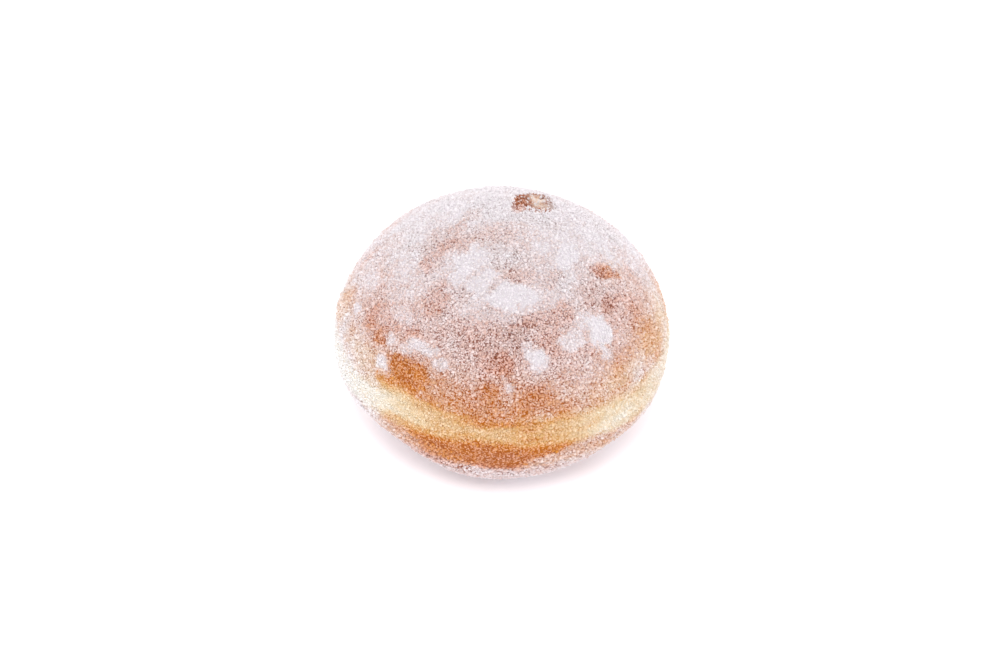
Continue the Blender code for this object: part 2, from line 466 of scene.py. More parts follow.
    def browning(self, points: np.ndarray) -> np.ndarray:
        """Works out how dark the frying left the skin.

        Args:
            points: Places on the skin.

        Returns:
            Numbers from 0, pale dough, to 1, dark red brown.
        """
        azimuth, _ = angles_of(points)
        above, below = self.belt(points)
        gold = np.interp(azimuth, *np.array(self.belt_gold).T)
        front = hump(azimuth, 0.0, self.front_half)
        crown = self.hem_tone + self.crown_rise * ease(8.0, 26.0, above) + self.front_rise * front
        ragged = 0.5 * self.edges.at(points, 4.0, 2)
        crown = crown - thickest(self.golden, directions_of(points), ragged, self.gold_fade)
        front_sole = hump(azimuth, self.sole_front_at, self.sole_front_half)
        sole = self.sole_tone + self.sole_front_rise * front_sole + self.sole_rise * ease(9.0, 18.0, below)
        tone = mix(gold, crown, ease(-3.0, 4.0 + 3.0 * front, above))
        tone = mix(tone, sole, self.sole_edge(points, below))
        mottle = self.blotches * self.drifts.at(points, 7.0, 2)
        mottle = mottle + self.freckles * self.drifts.at(points, 1.4, 2)
        browned = np.maximum(ease(0.0, 8.0, above), ease(0.0, 6.0, below))
        streaks = self.streaks * self.drifts.at(points * (0.4, 0.4, 1.6), 1.6, 3)
        return np.clip(tone + mottle * (0.3 + 0.7 * browned) + streaks * (1.0 - browned), 0.0, 1.0)

    def bareness(self, points: np.ndarray) -> np.ndarray:
        """Returns how much of the sugar is rubbed off at some points, from 0 to 1."""
        ragged = 0.35 * self.edges.at(points, 1.9, 2) + 0.2 * self.drifts.at(points, 0.6)
        return thickest(self.rubbed, directions_of(points), ragged, self.rub_fade)

    def powder(self, points: np.ndarray) -> np.ndarray:
        """Works out how thickly powdery sugar is caked on the skin.

        Args:
            points: Places on the skin.

        Returns:
            Numbers from 0 to 1.
        """
        ragged = 0.5 * self.edges.at(points, 2.6, 2) + 0.35 * self.drifts.at(points, 0.9, 2)
        caked = thickest(self.caked, directions_of(points), ragged, self.cake_fade)
        azimuth, elevation = angles_of(points)
        rear = ease(66.0, 118.0, np.abs(azimuth))
        high = ease(30.0, 60.0, elevation)
        veil = self.veil + np.maximum(self.rear_veil * rear, self.high_veil * high)
        veil = veil * ease(8.0, 26.0, elevation) * (0.8 + 0.9 * self.drifts.at(points, 5.5, 3))
        cover = np.maximum(caked, np.clip(veil, 0.0, 1.0))
        return cover * (1.0 - 0.85 * self.bareness(points))

    def frost(self, points: np.ndarray) -> np.ndarray:
        """Works out how white the sugar looks, where 0 lets all of the crust's colour through.

        Args:
            points: Places on the skin.

        Returns:
            Numbers from 0 to 1.
        """
        azimuth, elevation = angles_of(points)
        above, below = self.belt(points)
        at, *levels = np.array(self.frost_at).T
        sole, belt, hem = (np.interp(azimuth, at, level) for level in levels)
        crown = self.crown_frost + self.high_frost * ease(30.0, 58.0, elevation)
        crown = crown + self.side_frost * ease(58.0, 110.0, np.abs(azimuth))
        white = mix(belt, hem, ease(-1.0, 3.0, above))
        white = mix(white, crown, ease(2.0, 22.0, above))
        white = mix(white, sole, self.sole_edge(points, below))
        white = mix(white, self.foot_frost, ease(8.0, 16.0, below))
        white = white + self.uneven_frost * self.drifts.at(points, 3.4, 3)
        white = white * (1.0 - 0.95 * self.bareness(points))
        return np.clip(np.maximum(white, 0.3 + 0.75 * self.powder(points)), 0.0, 1.0)

    def crystals(self, points: np.ndarray) -> np.ndarray:
        """Works out how closely loose crystals lie.

        Args:
            points: Places on the skin.

        Returns:
            Numbers from 0, none, to 1, shoulder to shoulder.
        """
        _, elevation = angles_of(points)
        _, below = self.belt(points)
        cover = self.closeness + self.uneven_closeness * self.drifts.at(points, 2.4, 3)
        cover -= self.rubbed_loss * self.bareness(points)
        cover -= self.sole_loss * ease(0.0, 6.0, below) + self.low_loss * ease(8.0, 20.0, below)
        cover -= self.foot_loss * ease(28.0, 50.0, -elevation)
        return np.clip(cover + self.caked_gain * self.powder(points), 0.0, 1.0)


class NodeBench:
    """Builds the nodes of one material or world."""

    MIX_FACTOR, MIX_FIRST, MIX_SECOND, MIX_RESULT = 0, 6, 7, 2  # a Mix node's sockets for colours

    def __init__(self, owner: bpy.types.ID) -> None:
        """Empties the owner's nodes."""
        owner.use_nodes = True
        self.owner, self.tree = owner, owner.node_tree
        self.tree.nodes.clear()

    @classmethod
    def of_material(cls, name: str) -> "NodeBench":
        """Returns a bench on a new material called name."""
        return cls(bpy.data.materials.new(name))

    def node(
        self,
        kind: str,
        settings: dict[str, object] | None = None,
        sockets: dict[str | int, object] | None = None,
    ) -> bpy.types.Node:
        """Adds a node.

        Args:
            kind: Blender's name for the node's type.
            settings: Properties, set first. "stops" fills a colour ramp with pairs of place and colour.
            sockets: What goes into each input: a number, a tuple, a Value or another node's output.

        Returns:
            The new node.
        """
        made = self.tree.nodes.new(kind)
        for name, value in (settings or {}).items():
            if name == "stops":
                self._fill_ramp(made.color_ramp, value)
            else:
                setattr(made, name, value)
        for name, value in (sockets or {}).items():
            if isinstance(value, Value):
                value = value.socket
            if isinstance(value, bpy.types.NodeSocket):
                self.tree.links.new(value, made.inputs[name])
            else:
                made.inputs[name].default_value = value
        return made

    @staticmethod
    def _fill_ramp(ramp: bpy.types.ColorRamp, stops: tuple) -> None:
        """Gives a colour ramp its stops."""
        while len(ramp.elements) < len(stops):
            ramp.elements.new(1.0)
        for element, (place, colour) in zip(ramp.elements, stops):
            element.position, element.color = place, (*colour, 1.0)

    def paint(self, skin: Skin) -> "Value":
        """Returns the mesh's paint of that name."""
        return Value(self, self.node("ShaderNodeAttribute", {"attribute_name": skin.value}).outputs["Fac"])

    def noise(self, size: float, detail: float = 2.0, rough: float = 0.5) -> "Value":
        """Adds noise on the piece's own coordinates.

        Args:
            size: The spacing of its lumps in millimetres.
            detail: How many finer layers it has.
            rough: How strong the finer layers are.

        Returns:
            The noise, from 0 to 1.
        """
        place = self.node("ShaderNodeTexCoord").outputs["Object"]
        made = self.node(
            "ShaderNodeTexNoise",
            {"noise_dimensions": "3D"},
            {"Vector": place, "Scale": 1.0 / (size * MM), "Detail": detail, "Roughness": rough},
        )
        return Value(self, made.outputs["Fac"])

    def ramp(self, factor: "Value", stops: tuple) -> bpy.types.NodeSocket:
        """Returns the colours that a ramp of stops gives a factor."""
        return self.node("ShaderNodeValToRGB", {"stops": stops}, {"Fac": factor}).outputs["Color"]

    def blend(
        self, factor: object, first: object, second: object, way: str = "MIX"
    ) -> bpy.types.NodeSocket:
        """Mixes two colours.

        Args:
            factor: The second colour's share.
            first: A colour as a tuple or a socket.
            second: The other colour.
            way: Blender's name for the kind of mix.

        Returns:
            The mixed colour's socket.
        """
        first, second = ((*c, 1.0) if isinstance(c, tuple) else c for c in (first, second))
        sockets = {self.MIX_FACTOR: factor, self.MIX_FIRST: first, self.MIX_SECOND: second}
        made = self.node("ShaderNodeMix", {"data_type": "RGBA", "blend_type": way}, sockets)
        return made.outputs[self.MIX_RESULT]

    def bump(self, height: "Value", depth: float) -> bpy.types.NodeSocket:
        """Turns a height into a normal.

        Args:
            height: The height, from 0 to 1.
            depth: How far 1 stands above 0, in millimetres.

        Returns:
            The normal's socket.
        """
        sockets = {"Height": height, "Distance": depth * MM, "Strength": 1.0}
        return self.node("ShaderNodeBump", {}, sockets).outputs["Normal"]

    def finish(self, sockets: dict[str, object]) -> bpy.types.Material:
        """Ends the material in a Principled shader with these inputs, and returns it."""
        shader = self.node("ShaderNodeBsdfPrincipled", {}, sockets)
        self.node("ShaderNodeOutputMaterial", {}, {"Surface": shader.outputs[0]})
        return self.owner


class Value:
    """A number that varies over a surface. Python's operators on it add Math nodes."""

    def __init__(self, bench: NodeBench, socket: bpy.types.NodeSocket) -> None:
        """Wraps a socket of the bench's tree."""
        self.bench, self.socket = bench, socket

    def _math(self, operation: str, first: object, second: object) -> "Value":
        """Adds one Math node and returns its result."""
        made = self.bench.node("ShaderNodeMath", {"operation": operation}, {0: first, 1: second})
        return Value(self.bench, made.outputs[0])

    def __add__(self, other: object) -> "Value":
        """Returns the sum."""
        return self._math("ADD", self, other)

    def __radd__(self, other: object) -> "Value":
        """Returns the sum, where the plain number comes first."""
        return self._math("ADD", other, self)

    def __sub__(self, other: object) -> "Value":
        """Returns the difference."""
        return self._math("SUBTRACT", self, other)

    def __rsub__(self, other: object) -> "Value":
        """Returns the difference, where the plain number comes first."""
        return self._math("SUBTRACT", other, self)

    def __mul__(self, other: object) -> "Value":
        """Returns the product."""
        return self._math("MULTIPLY", self, other)

    def __rmul__(self, other: object) -> "Value":
        """Returns the product, where the plain number comes first."""
        return self._math("MULTIPLY", other, self)

    def eased(self, low: float, high: float) -> "Value":
        """Returns a smooth rise from 0 at low to 1 at high."""
        made = self.bench.node(
            "ShaderNodeMapRange",
            {"interpolation_type": "SMOOTHSTEP"},
            {"Value": self, "From Min": low, "From Max": high},
        )
        return Value(self.bench, made.outputs["Result"])


@dataclass(frozen=True)
class SugarTint:
    """The colour of sugar, from clear crystals that show the crust under them to white ones."""

    whites: tuple = (
        # browning of the crust below, and the colour of white crystals on it
        (0.00, (1.0, 0.99, 0.965)),
        (0.35, (0.99, 0.95, 0.945)),
        (0.60, (0.97, 0.93, 0.955)),
    )
    over_crust: tuple = (
        # browning of the crust below, and the colour of clear crystals on it
        (0.00, (0.97, 0.88, 0.73)),
        (0.15, (0.94, 0.76, 0.50)),
        (0.35, (0.88, 0.54, 0.21)),
        (0.50, (0.82, 0.34, 0.045)),
        (0.60, (0.76, 0.28, 0.035)),
        (0.76, (0.86, 0.45, 0.32)),
        (1.00, (0.55, 0.30, 0.24)),
    )
    dimmest: float = 0.84
    brightest: float = 1.02
    frost_pull: float = 1.15  # how much the frost and the crystal's draw make it white, and the threshold
    draw_pull: float = 0.26
    clear_below: float = 0.24

    def colour(self, bench: NodeBench, browning: Value, frost: Value, lot: Value) -> bpy.types.NodeSocket:
        """Mixes the colour of crystals.

        Args:
            bench: Where the nodes go.
            browning: How brown the crust under the crystals is.
            frost: How white the sugar is there.
            lot: A number from 0 to 1 that each crystal draws.

        Returns:
            The colour's socket.
        """
        stained = bench.ramp(browning, self.over_crust)
        share = (frost * self.frost_pull + lot * self.draw_pull - self.clear_below).eased(0.0, 1.0)
        colour = bench.blend(share, stained, bench.ramp(browning, self.whites))
        return bench.blend(1.0, colour, lot * (self.brightest - self.dimmest) + self.dimmest, "MULTIPLY")


@dataclass(frozen=True)
class CrustFinish:
    """Fried skin that goes from pale dough to red brown, under fine sugar and caked powder."""

    tones: tuple = (
        # browning and the bare crust's colour
        (0.00, (0.90, 0.82, 0.68)),
        (0.15, (0.80, 0.61, 0.37)),
        (0.35, (0.61, 0.31, 0.09)),
        (0.50, (0.50, 0.150, 0.012)),
        (0.60, (0.40, 0.105, 0.012)),
        (0.76, (0.31, 0.100, 0.052)),
        (1.00, (0.14, 0.04, 0.025)),
    )
    crumb: tuple = (
        # the crumb's noise and its colour in the torn hole
        (0.32, (0.74, 0.46, 0.32)),
        (0.46, (0.90, 0.72, 0.60)),
        (0.65, (0.94, 0.86, 0.81)),
    )
    powder: tuple = (0.82, 0.775, 0.815)
    tint: SugarTint = SugarTint()
    fine_size: float = 0.27  # the spacing of the finest crystals, then of the freckles and of the crumb
    freckle_size: float = 0.8
    crumb_size: float = 0.5
    freckling: float = 0.25
    film: float = 0.90  # how much of the crust's colour the thinnest dust hides
    film_tone: tuple = (0.38, 0.305, 0.30)
    relief: float = 0.12
    roughness: float = 0.5
    powder_roughness: float = 0.4  # what caked powder adds to it

    def _fine_sugar(self, bench: NodeBench) -> tuple[Value, Value]:
        """Lays the finest crystals, one in each cell of a cell pattern.

        Args:
            bench: Where the nodes go.

        Returns:
            Where they lie, from 0 to 1, and each one's own draw from 0 to 1.
        """
        place = bench.node("ShaderNodeTexCoord").outputs["Object"]
        cells = bench.node(
            "ShaderNodeTexVoronoi",
            {"voronoi_dimensions": "3D", "feature": "F1"},
            {"Vector": place, "Scale": 1.0 / (self.fine_size * MM), "Randomness": 1.0},
        )
        parts = bench.node("ShaderNodeSeparateColor", {}, {0: cells.outputs["Color"]})
        grains = 1.0 - Value(bench, cells.outputs["Distance"]).eased(0.30, 0.62)
        return grains, Value(bench, parts.outputs[0])

    def material(self) -> bpy.types.Material:
        """Builds the skin's material.

        Returns:
            The material.
        """
        bench = NodeBench.of_material("sugared_fried_crust")
        browning, powder = bench.paint(Skin.BROWNING), bench.paint(Skin.POWDER)
        frost, crumb = bench.paint(Skin.FROST), bench.paint(Skin.CRUMB)
        freckles = bench.noise(self.freckle_size, 3.0, 0.6)
        fine, draw = self._fine_sugar(bench)
        crust = bench.ramp(browning + (freckles - 0.5) * self.freckling, self.tones)
        crust = bench.blend(crumb, crust, bench.ramp(bench.noise(self.crumb_size), self.crumb))
        sugar = self.tint.colour(bench, browning, frost, draw)
        settled = (draw + frost * 0.62 - 0.46).eased(0.14, 0.34)
        clinging = (fine * 0.65 + 0.35) * settled * (1.0 - crumb)
        dust = frost.eased(0.35, 1.00) * browning.eased(0.1, 0.5) * self.film
        filmed = bench.blend(dust, crust, self.film_tone)
        colour = bench.blend(clinging, filmed, sugar)
        caked = (powder * 1.2 + (draw - 0.5) * 0.3 + (freckles - 0.5) * 0.6 - 0.04).eased(0.0, 1.0)
        colour = bench.blend(caked, colour, self.powder)
        return bench.finish(
            {
                "Base Color": colour,
                "Roughness": self.roughness + caked * self.powder_roughness,
                "Normal": bench.bump(fine * 0.6 + freckles * 0.4, self.relief),
                "Specular IOR Level": SHINE,
            }
        )


@dataclass(frozen=True)
class CrystalFinish:
    """Sugar crystals that stand up from the skin."""

    tint: SugarTint = SugarTint()
    roughness: float = 0.4

    def material(self, name: str) -> bpy.types.Material:
        """Builds the crystals' material.

        Args:
            name: The material's name.

        Returns:
            The material.
        """
        bench = NodeBench.of_material(name)
        paints = (bench.paint(skin) for skin in (Skin.BROWNING, Skin.FROST, Skin.LOT))
        colour = self.tint.colour(bench, *paints)
        settings = {"Base Color": colour, "Roughness": self.roughness, "Specular IOR Level": SHINE}
        return bench.finish(settings)


@dataclass(frozen=True)
class FloorFinish:
    """Glowing white acrylic whose glow is dimmed round where the doughnut stands, a painted contact shadow
    with a trace of lavender.
    """

    colour: tuple = (0.89, 0.885, 0.905)
    cloud_colour: tuple = (0.86, 0.855, 0.885)
    cloud_size: float = 90.0
    cloudiness: float = 0.06
    glow_colour: tuple = (0.98, 0.95, 0.98)
    # the floor's emission colour inside the painted contact shadow
    painted_shadow_colour: tuple = (0.78, 0.79, 0.85)
    glow: float = 0.33
    painted_shadow_radius: float = 17.5  # from the middle to where the painted shadow starts to fade
    painted_shadow_end_radius: float = 21.0
    painted_shadow_stretch: float = 1.28  # how much wider the painted shadow is than it is deep
    roughness: float = 0.85
    shine: float = 0.1

    def material(self) -> bpy.types.Material:
        """Builds the floor's material.

        Returns:
            The material.
        """
        bench = NodeBench.of_material("white_acrylic_painted_shadow")
        cloudy = bench.noise(self.cloud_size) * self.cloudiness
        colour = bench.blend(cloudy, self.colour, self.cloud_colour)
        place = bench.node("ShaderNodeTexCoord").outputs["Object"]
        scale = (1.0 / (MM * self.painted_shadow_stretch), 1.0 / MM, 0.0)
        flat = bench.node("ShaderNodeVectorMath", {"operation": "MULTIPLY"}, {0: place, 1: scale})
        reach = bench.node("ShaderNodeVectorMath", {"operation": "LENGTH"}, {0: flat.outputs[0]})
        # lit is 0 inside the painted contact shadow and 1 beyond it, where the glow is full
        lit = Value(bench, reach.outputs["Value"]).eased(self.painted_shadow_radius, self.painted_shadow_end_radius)
        return bench.finish(
            {
                "Base Color": colour,
                "Roughness": self.roughness,
                "Specular IOR Level": self.shine,
                "Emission Color": bench.blend(lit, self.painted_shadow_colour, self.glow_colour),
                "Emission Strength": self.glow,
            }
        )


def only(piece: bpy.types.Object) -> None:
    """Selects one object and nothing else."""
    bpy.ops.object.select_all(action="DESELECT")
    piece.select_set(True)
    bpy.context.view_layer.objects.active = piece


def edit_points(piece: bpy.types.Object, chosen: np.ndarray) -> None:
    """Opens the active piece in edit mode with only the chosen points selected."""
    mesh = piece.data
    mesh.polygons.foreach_set("select", np.zeros(len(mesh.polygons), bool))
    mesh.edges.foreach_set("select", np.zeros(len(mesh.edges), bool))
    mesh.vertices.foreach_set("select", chosen)
    bpy.ops.object.mode_set(mode="EDIT")
    bpy.ops.mesh.select_mode(type="VERT")


def apply_modifier(piece: bpy.types.Object, kind: str, settings: dict[str, object]) -> None:
    """Adds a modifier to the active piece and applies it.

    Args:
        piece: The active object.
        kind: Blender's name for the modifier.
        settings: Its properties.
    """
    modifier = piece.modifiers.new(kind.lower(), kind)
    for name, value in settings.items():
        setattr(modifier, name, value)
    bpy.ops.object.modifier_apply(modifier=modifier.name)


def read_points(mesh: bpy.types.Mesh) -> np.ndarray:
    """Returns a mesh's vertices in millimetres."""
    flat = np.empty(len(mesh.vertices) * 3, np.float32)
    mesh.vertices.foreach_get("co", flat)
    return flat.reshape(-1, 3).astype(float) / MM


def write_points(mesh: bpy.types.Mesh, points: np.ndarray) -> None:
    """Moves a mesh's vertices to points given in millimetres."""
    mesh.vertices.foreach_set("co", (points * MM).astype(np.float32).ravel())
    mesh.update()


def read_normals(mesh: bpy.types.Mesh) -> np.ndarray:
    """Returns a mesh's vertex normals."""
    flat = np.empty(len(mesh.vertices) * 3, np.float32)
    mesh.vertex_normals.foreach_get("vector", flat)
    return flat.reshape(-1, 3).astype(float)


def write_paint(mesh: bpy.types.Mesh, skin: Skin, values: np.ndarray) -> None:
    """Stores one number for each vertex under a paint's name."""
    layer = mesh.attributes.new(skin.value, "FLOAT", "POINT")
    layer.data.foreach_set("value", values.astype(np.float32))


@dataclass(frozen=True)
class FillingHole:
    """The torn hole beside the top where the filling went in, closed by crumb."""

    at: tuple[float, float] = (5.9, 7.0)
    half: tuple[float, float] = (3.5, 2.8)
    turn: float = 12.0
    reach: float = 1.9  # how far out the skin gets closer points, as a share of the half size
    underside_out: float = 9.0  # what puts the points of the underside out of the hole's reach
    raggedness: float = 0.28
    lip_height: float = 0.45
    lip_out: float = 1.05  # where the lip's ridge runs, and then its half width
    lip_half: float = 0.28
    slit_depth: float = 0.7
    slit_across: float = -0.42
    mouth_share: float = 0.35  # the wide mouth's part of the slit's depth
    tatter_height: float = 0.16
    strand_height: float = 0.45

    def places(self, points: np.ndarray) -> tuple[np.ndarray, np.ndarray, np.ndarray]:
        """Measures points against the hole.

        Args:
            points: Places on the skin.

        Returns:
            How far along the hole's long way, how far across it, and how far out from its middle, each
            as a share of its half size. Points on the lower half are far out.
        """
        c, s = math.cos(math.radians(self.turn)), math.sin(math.radians(self.turn))
        x, y = points[:, 0] - self.at[0], points[:, 1] - self.at[1]
        along = (c * x + s * y) / self.half[0]
        across = (c * y - s * x) / self.half[1]
        out = np.hypot(along, across) + self.underside_out * (points[:, 2] < HEART[2])
        return along, across, out


class Tear:
    """How the torn hole lies on some points of the skin."""

    def __init__(self, hole: FillingHole, points: np.ndarray, fold: Lumps) -> None:
        """Measures the points against the hole and its torn edge.

        Args:
            hole: The filling hole.
            points: Places on the skin.
            fold: The noise that tears it.
        """
        self.hole = hole
        self.along, self.across, self.out = hole.places(points)
        self.tatter = fold.at(points, 0.9, 2)
        self.bulges = fold.at(points, 1.6)
        self.strands = 1.0 - np.abs(fold.at(points * (0.55, 1.5, 1.5), 0.8, 2)) * 3.0
        self.torn = self.out + hole.raggedness * self.tatter
        off_slit = np.abs(self.across - hole.slit_across + 0.25 * self.tatter)
        self.slit = ease(0.30, 0.08, off_slit) * ease(0.9, 0.4, np.abs(self.along - 0.1))

    def relief(self) -> np.ndarray:
        """Returns how far the lip, the mouth, the slit and the strands move each point outwards."""
        hole = self.hole
        mouth = ease(0.95, 0.35, self.torn)
        back = ease(-0.5, 0.6, self.across)
        lip = hump(self.torn, hole.lip_out, hole.lip_half) * (0.15 + 1.5 * back + 0.5 * self.bulges)
        sunk = mix(self.slit, mouth, hole.mouth_share)
        threads = hole.tatter_height * self.tatter + hole.strand_height * np.clip(self.strands, -0.4, 1.0)
        return hole.lip_height * lip - hole.slit_depth * sunk + threads * ease(1.15, 0.8, self.out)

    def sugared(self) -> np.ndarray:
        """Returns the share of its sugar that each point keeps, which is least at the hole's left."""
        return 1.0 - 0.7 * ease(1.5, 0.95, self.torn) * ease(1.35, 0.1, self.along)

    def crumb(self) -> np.ndarray:
        """Returns how much pale crumb shows at each point."""
        # the slit shows less pale crumb, leaving it darker: painted shade in the slit
        opened = ease(1.05, 0.7, self.torn) * (1.0 - 0.8 * self.slit)
        return opened * ease(-0.45, 0.1, self.along + 0.3 * self.tatter) * ease(-0.5, 0.35, self.strands)


@dataclass
class DoughBall:
    """The fried ball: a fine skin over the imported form, with its wrinkles and its torn filling hole."""

    plan: SugarPlan
    finish: CrustFinish = field(default_factory=CrustFinish)
    hole: FillingHole = field(default_factory=FillingHole)
    weave: float = 0.41  # spacing of the skin's points
    relax_rounds: int = 16
    doubles: float = 0.01  # packed points closer than this are merged
    fold_seed: int = 21
    wrinkle: float = 0.07
    fine_wrinkle: float = 0.03
    powder_depth: float = 0.16
    rubbed_depth: float = 0.05
    rim_tone: float = 0.73  # browning of the hole's rim
    # how much darker the sunk slit is painted: painted shade, not browning
    painted_slit_shade: float = 0.06
    piece: bpy.types.Object | None = None

    def build(self) -> bpy.types.Object:
        """Makes the ball's mesh.

        Returns:
            The finished object.
        """
        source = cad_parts[DOUGH_NODE]
        bpy.ops.object.select_all(action="DESELECT")
        piece = bpy.data.objects.new("dough_ball", source.data.copy())
        bpy.context.scene.collection.objects.link(piece)
        piece.data.materials.clear()
        only(piece)
        bpy.ops.object.mode_set(mode="EDIT")
        bpy.ops.mesh.select_all(action="SELECT")
        bpy.ops.mesh.remove_doubles(threshold=self.doubles * MM)
        bpy.ops.object.mode_set(mode="OBJECT")
        apply_modifier(piece, "REMESH", {"mode": "VOXEL", "voxel_size": self.weave * MM})
        apply_modifier(piece, "SMOOTH", {"factor": 0.5, "iterations": self.relax_rounds})
        self._refine_hole(piece)
        self._sculpt(piece.data)
        bpy.ops.object.shade_smooth()
        self.piece = piece
        return piece

    def _refine_hole(self, piece: bpy.types.Object) -> None:
        """Sets the skin's points three times as close round the filling hole."""
        _, _, out = self.hole.places(read_points(piece.data))
        edit_points(piece, out < self.hole.reach)
        bpy.ops.mesh.subdivide(number_cuts=2, smoothness=0.0)
        bpy.ops.object.mode_set(mode="OBJECT")

    def _sculpt(self, mesh: bpy.types.Mesh) -> None:
        """Works the relief into the skin and paints it."""
        points, fold = read_points(mesh), Lumps(self.fold_seed)
        _, below = self.plan.belt(points)
        powder, tear = self.plan.powder(points), Tear(self.hole, points, fold)
        relief = self._crust_relief(points, powder, fold) + tear.relief()
        moved = points + read_normals(mesh) * relief[:, None]
        moved[:, 2] = np.maximum(moved[:, 2], 0.0)
        write_points(mesh, moved)
        browning = mix(self.plan.browning(moved), self.rim_tone, 0.8 * ease(1.75, 1.2, tear.torn))
        # the sunk slit is darkened: painted shade, not browning
        browning = browning + self.painted_slit_shade * tear.slit
        frost = self.plan.frost(moved) * tear.sugared() * (1.0 - 0.6 * ease(8.0, 16.0, below))
        write_paint(mesh, Skin.BROWNING, np.clip(browning, 0.0, 1.0))
        write_paint(mesh, Skin.POWDER, powder * tear.sugared() * ease(0.9, 1.4, tear.torn))
        write_paint(mesh, Skin.FROST, frost)
        write_paint(mesh, Skin.CRUMB, tear.crumb())
        write_paint(mesh, Skin.TORN, ease(1.2, 0.85, tear.torn))

    def _crust_relief(self, points: np.ndarray, powder: np.ndarray, fold: Lumps) -> np.ndarray:
        """Works out the wrinkles and the thickness of the sugar.

        Args:
            points: Places on the skin.
            powder: How thickly powdery sugar is caked on them.
            fold: The noise that wrinkles the skin.

        Returns:
            How far each point moves outwards.
        """
        above, below = self.plan.belt(points)
        browned = np.maximum(ease(0.0, 6.0, above), ease(0.0, 5.0, below))
        relief = self.wrinkle * fold.at(points * (1.0, 1.0, 2.2), 2.4, 3) * (0.4 + 0.6 * browned)
        relief += self.fine_wrinkle * fold.at(points, 0.8, 2)
        relief += self.powder_depth * powder * (0.6 + 0.6 * fold.at(points, 1.1, 2))
        return relief - self.rubbed_depth * self.plan.bareness(points)

    def dress(self) -> None:
        """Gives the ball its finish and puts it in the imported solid's place."""
        self.piece.data.materials.append(self.finish.material())
        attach(self.piece, BODY)
        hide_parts(DOUGH_NODE)


@dataclass
class CrystalKind:
    """One sieving of sugar crystals, which are leaning blocks or lozenges of two pyramids.

    smallest and largest are its sizes, most is how many there may be, and crown, powder and sole are
    its share of the crystals on the crust, on caked sugar and low on the ball.
    """

    BLOCK_TOP = (0.74, 0.66, 1.0)  # how much narrower a block's top is
    BLOCK_LEAN = (0.06, 0.03, 0.0)
    LOZENGE_RADIUS = 0.6
    LOZENGE_HEIGHT = 0.55
    LOZENGE_FOOT = (0.05, 0.0, -0.5)  # how far the middle of its foot is pulled down and aside

    name: str
    shape: CrystalShape
    smallest: float
    largest: float
    most: int
    crown: float
    powder: float
    sole: float

    def model(self) -> tuple[np.ndarray, np.ndarray]:
        """Models one crystal, a unit across.

        Returns:
            Its points, and its faces as rows of point numbers.
        """
        bpy.ops.object.select_all(action="DESELECT")
        if self.shape is CrystalShape.BLOCK:
            bpy.ops.mesh.primitive_cube_add(size=1.0)
            crystal = bpy.context.active_object
            edit_points(crystal, read_points(crystal.data)[:, 2] > 0.0)
            bpy.ops.transform.resize(value=self.BLOCK_TOP)
            bpy.ops.transform.translate(value=self.BLOCK_LEAN)
        else:
            bpy.ops.mesh.primitive_cone_add(
                vertices=4, radius1=self.LOZENGE_RADIUS, depth=self.LOZENGE_HEIGHT, end_fill_type="TRIFAN"
            )
            crystal = bpy.context.active_object
            x, y, z = read_points(crystal.data).T
            edit_points(crystal, (np.hypot(x, y) < 1.0) & (z < 0.0))
            bpy.ops.transform.translate(value=self.LOZENGE_FOOT)
        bpy.ops.object.mode_set(mode="OBJECT")
        points = read_points(crystal.data) * MM
        faces = np.array([tuple(face.vertices) for face in crystal.data.polygons])
        mesh = crystal.data
        bpy.data.objects.remove(crystal)
        bpy.data.meshes.remove(mesh)
        return points, faces


def random_turns(count: int, rng: np.random.Generator) -> np.ndarray:
    """Returns that many rotation matrices, spread evenly over all turns."""
    quaternions = rng.normal(size=(4, count))
    w, x, y, z = quaternions / np.linalg.norm(quaternions, axis=0)
    rows = [
        [1 - 2 * (y * y + z * z), 2 * (x * y - z * w), 2 * (x * z + y * w)],
        [2 * (x * y + z * w), 1 - 2 * (x * x + z * z), 2 * (y * z - x * w)],
        [2 * (x * z - y * w), 2 * (y * z + x * w), 1 - 2 * (x * x + y * y)],
    ]
    return np.array(rows).transpose(2, 0, 1)


